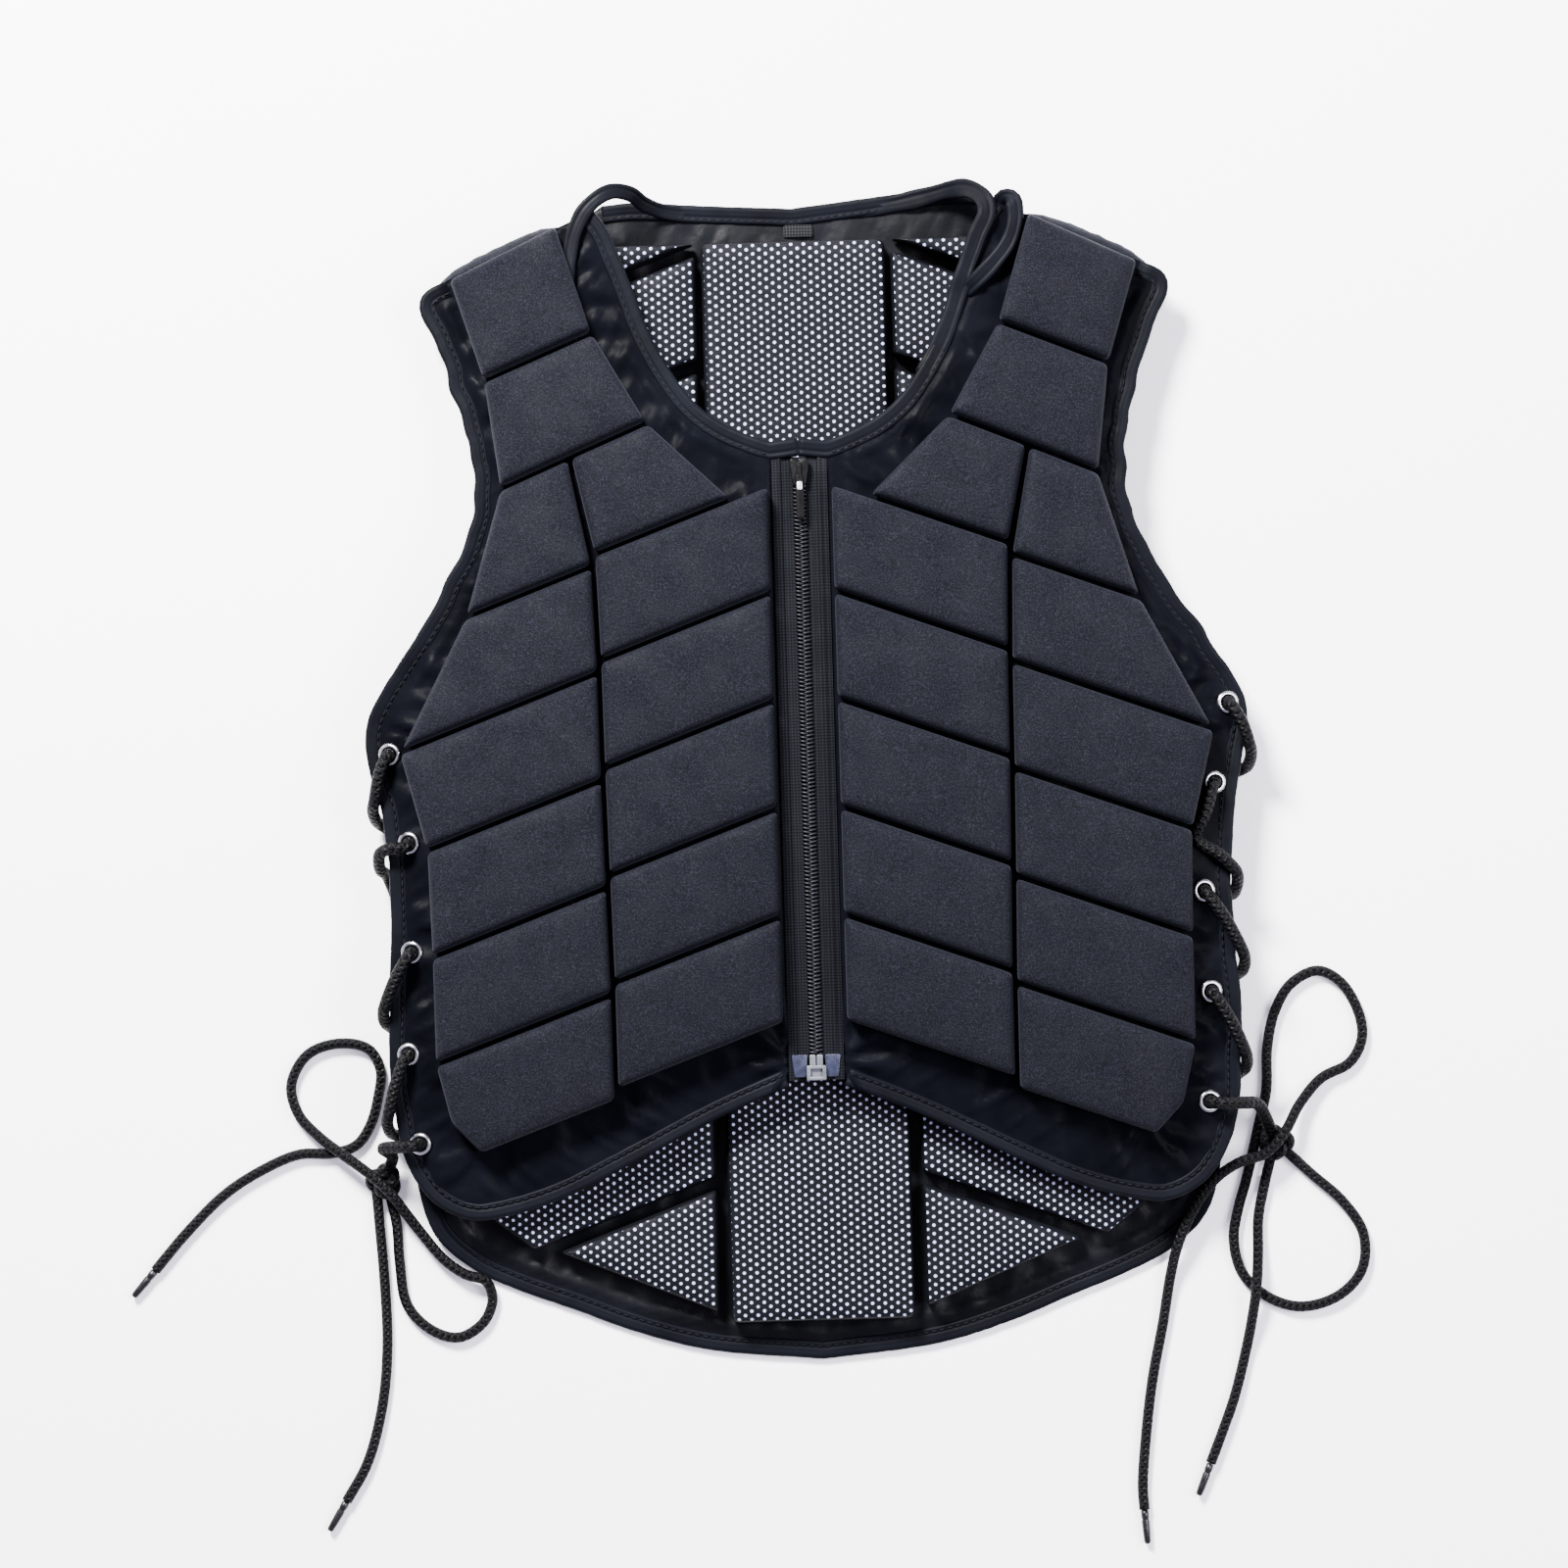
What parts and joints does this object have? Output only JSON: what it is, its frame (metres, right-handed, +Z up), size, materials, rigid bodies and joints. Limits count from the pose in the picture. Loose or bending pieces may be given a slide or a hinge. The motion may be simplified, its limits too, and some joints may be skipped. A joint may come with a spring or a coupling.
{
  "type": "body protector",
  "caption": "Padded riding body protector lying on its back, with a front zip and laced sides.",
  "frame": {"origin": "on the surface under the middle of the footprint of everything but the free cord ends", "axes": "+X towards the right of the picture, +Y from the hem to the collar, +Z up from the surface the vest lies on"},
  "size_m": [0.5898, 0.6425, 0.0545],
  "materials": {
    "cloth": "black satin cloth with bound edges",
    "foam": "dark charcoal heather cloth over foam",
    "lining": "perforated black net lining over foam",
    "tape": "woven zip tape",
    "coil": "moulded coil",
    "slider": "dark painted",
    "zip_box": "silver grey",
    "eyelets": "polished silver",
    "cord": "braided black lace",
    "aglet": "black",
    "tab": "grey tape"
  },
  "bodies": {
    "root": {"back_shell": "cloth", "pad_back_spine": "lining", "front_shell_right": "cloth", "pads_back_right": "lining", "pad_right_shoulder_1": "foam", "pad_right_shoulder_2": "foam", "pad_right_inner_a": "foam", "pad_right_outer_a": "foam", "pad_right_inner_b": "foam", "pad_right_outer_b": "foam", "pad_right_inner_c": "foam", "pad_right_outer_c": "foam", "pad_right_inner_d": "foam", "pad_right_outer_d": "foam", "pad_right_inner_e": "foam", "pad_right_outer_e": "foam", "pad_right_inner_f": "foam", "pad_right_outer_f": "foam", "zip_tape_right": "tape", "eyelet_right_1": "eyelets", "eyelet_right_2": "eyelets", "eyelet_right_3": "eyelets", "eyelet_right_4": "eyelets", "eyelet_right_5": "eyelets", "side_lace_right": "cord", "front_shell_left": "cloth", "pads_back_left": "lining", "pad_left_shoulder_1": "foam", "pad_left_shoulder_2": "foam", "pad_left_inner_a": "foam", "pad_left_outer_a": "foam", "pad_left_inner_b": "foam", "pad_left_outer_b": "foam", "pad_left_inner_c": "foam", "pad_left_outer_c": "foam", "pad_left_inner_d": "foam", "pad_left_outer_d": "foam", "pad_left_inner_e": "foam", "pad_left_outer_e": "foam", "pad_left_inner_f": "foam", "pad_left_outer_f": "foam", "zip_tape_left": "tape", "eyelet_left_1": "eyelets", "eyelet_left_2": "eyelets", "eyelet_left_3": "eyelets", "eyelet_left_4": "eyelets", "eyelet_left_5": "eyelets", "side_lace_left": "cord", "zip_teeth": "coil", "zip_slider": "slider", "zip_box": "zip_box", "neck_tab": "tab", "bow_right_long": "cord", "bow_right_short": "cord", "bow_left_long": "cord", "bow_left_short": "cord", "aglet_right_long": "aglet", "aglet_right_short": "aglet", "aglet_left_long": "aglet", "aglet_left_short": "aglet"}
  },
  "joints": []
}
